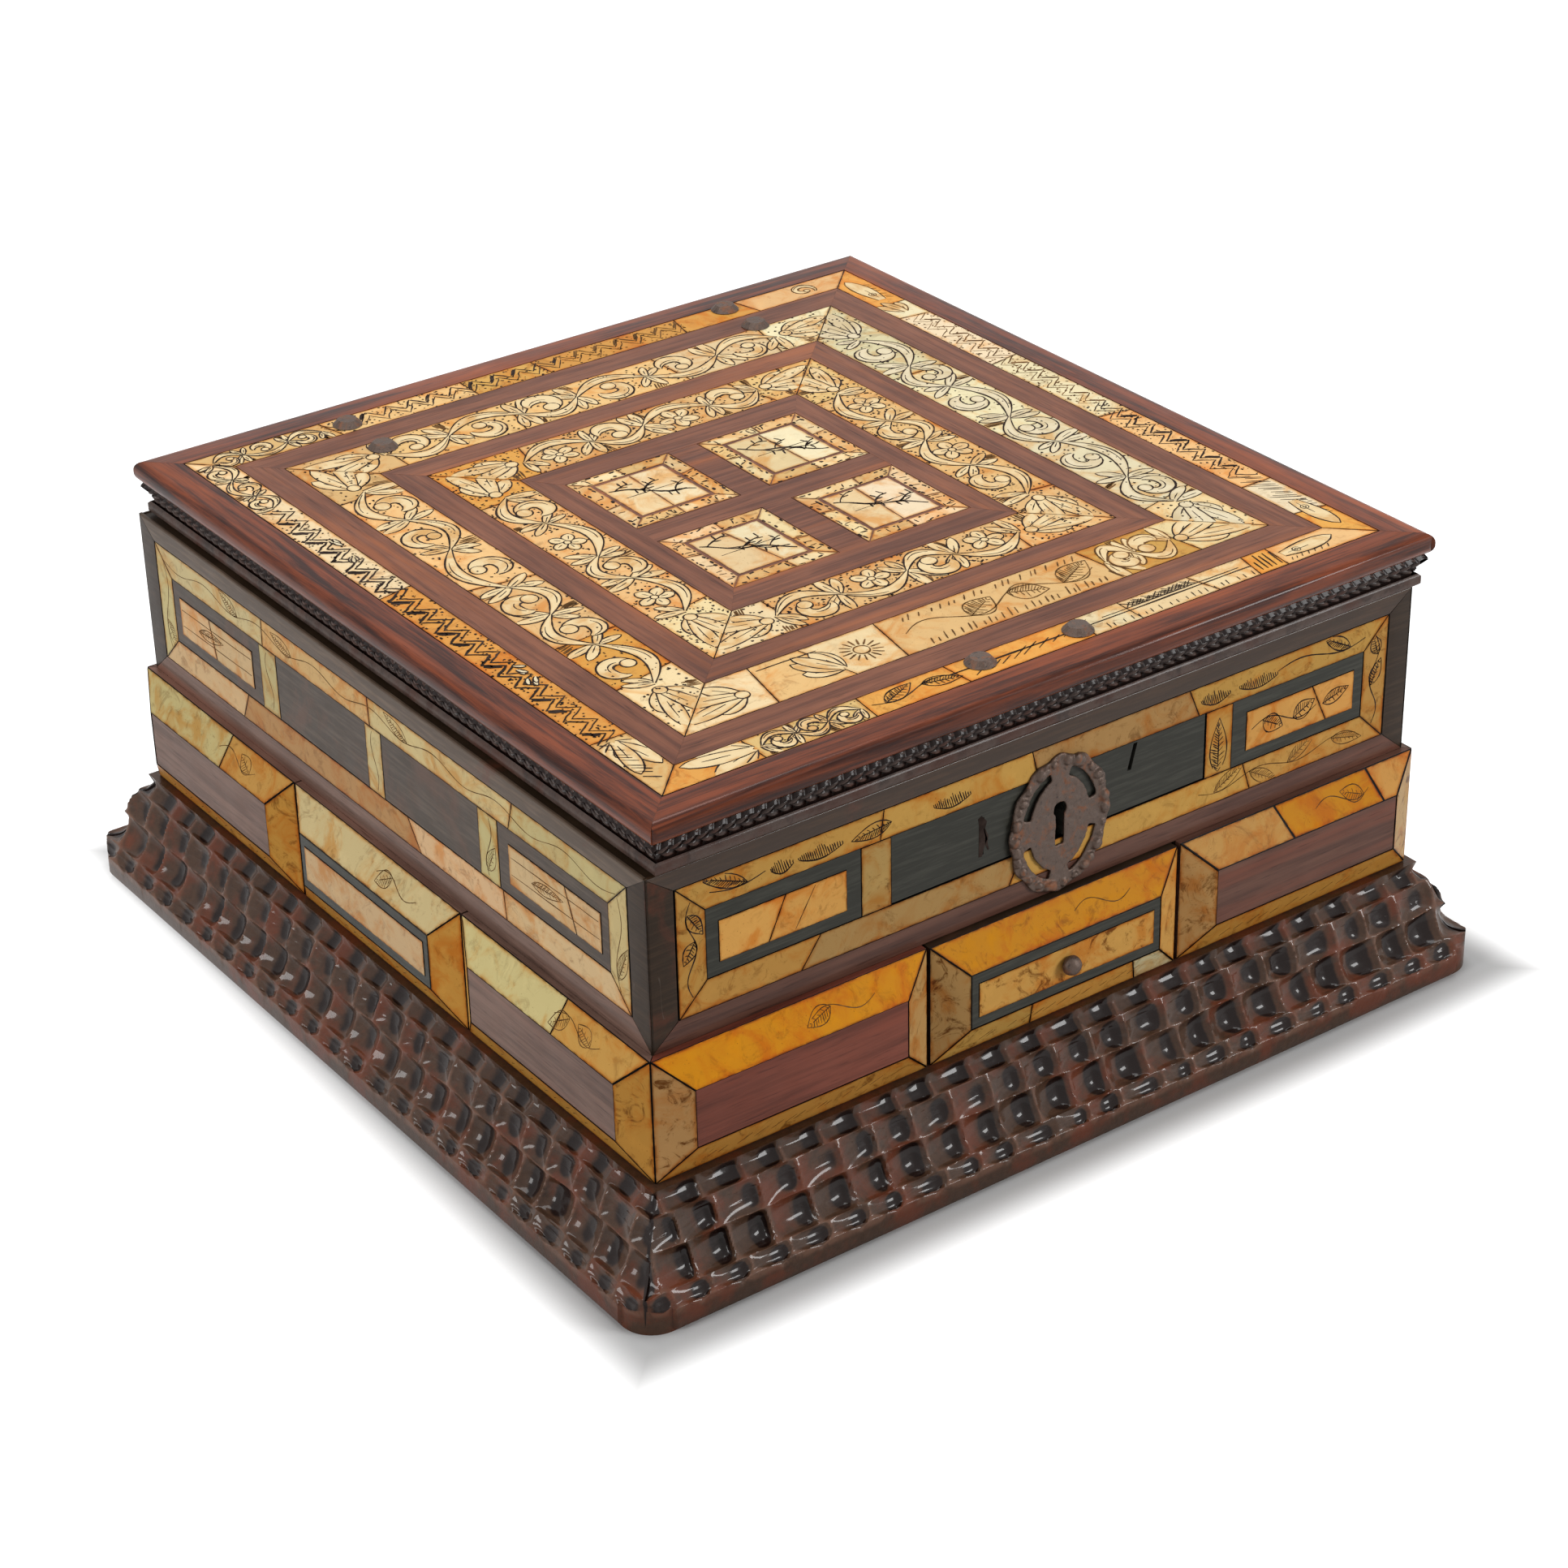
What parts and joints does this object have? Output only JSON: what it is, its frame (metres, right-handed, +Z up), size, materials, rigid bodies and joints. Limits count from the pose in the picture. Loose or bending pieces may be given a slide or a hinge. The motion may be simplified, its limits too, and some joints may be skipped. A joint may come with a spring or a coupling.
{
  "type": "table casket",
  "caption": "Square table casket on a rippled base, with engraved bone bands in the wood, a hinged lid with an inside lock, and a small drawer in the lower tier.",
  "frame": {"origin": "on the floor under the middle of the base", "axes": "+Z up, the front with the lock and the drawer faces -Y, +X to the right seen from the front"},
  "size_m": [0.345, 0.353, 0.1627],
  "materials": {
    "ebonised_wood": "ebonised and polished",
    "rippled_moulding": "dark varnish over carved ripples",
    "red_wood": "polished",
    "plain_wood": "bare",
    "bone": "engraved and polished",
    "iron": "rusty"
  },
  "bodies": {
    "case": {"back_block_end": "red_wood", "back_block_middle": "red_wood", "back_block_start": "red_wood", "back_board": "ebonised_wood", "back_frame": "bone", "base_back": "rippled_moulding", "base_front": "rippled_moulding", "base_left": "rippled_moulding", "base_right": "rippled_moulding", "bottom_board": "plain_wood", "compartment_floor": "plain_wood", "drawer_guide_left": "plain_wood", "drawer_guide_right": "plain_wood", "drawer_stop": "plain_wood", "escutcheon": "iron", "front_block_left": "red_wood", "front_block_right": "red_wood", "front_frame": "bone", "front_post_left": "ebonised_wood", "front_post_right": "ebonised_wood", "front_rail": "ebonised_wood", "hinge_leaf_left": "iron", "hinge_leaf_right": "iron", "hinge_pin_left": "iron", "hinge_pin_right": "iron", "left_block_end": "red_wood", "left_block_middle": "red_wood", "left_block_start": "red_wood", "left_board": "ebonised_wood", "left_frame": "bone", "lock_plate": "iron", "right_block_end": "red_wood", "right_block_middle": "red_wood", "right_block_start": "red_wood", "right_board": "ebonised_wood", "right_frame": "bone"},
    "lid": {"hinge_strap_left": "iron", "hinge_strap_right": "iron", "inner_band": "bone", "lid_board": "red_wood", "lid_panel_back_left": "bone", "lid_panel_back_right": "bone", "lid_panel_front_left": "bone", "lid_panel_front_right": "bone", "lid_staple": "iron", "middle_band": "bone", "outer_band": "bone", "ripple_back": "rippled_moulding", "ripple_front": "rippled_moulding", "ripple_left": "rippled_moulding", "ripple_right": "rippled_moulding"},
    "drawer": {"drawer_back": "plain_wood", "drawer_bottom": "plain_wood", "drawer_front": "bone", "drawer_knob": "iron", "drawer_side_left": "plain_wood", "drawer_side_right": "plain_wood"},
    "bolt": {"lock_bolt": "iron"}
  },
  "joints": [
    {"name": "lid_hinge", "type": "hinge", "parent": "case", "child": "lid", "pos_m": [0, 0.1575, 0.1426], "axis": [-1, 0, 0], "range_deg": [0, 100]},
    {"name": "drawer_slide", "type": "slide", "parent": "case", "child": "drawer", "axis": [0, -1, 0], "range_m": [0, 0.16]},
    {"name": "bolt_slide", "type": "slide", "parent": "case", "child": "bolt", "axis": [1, 0, 0], "range_m": [0, 0.008]}
  ]
}
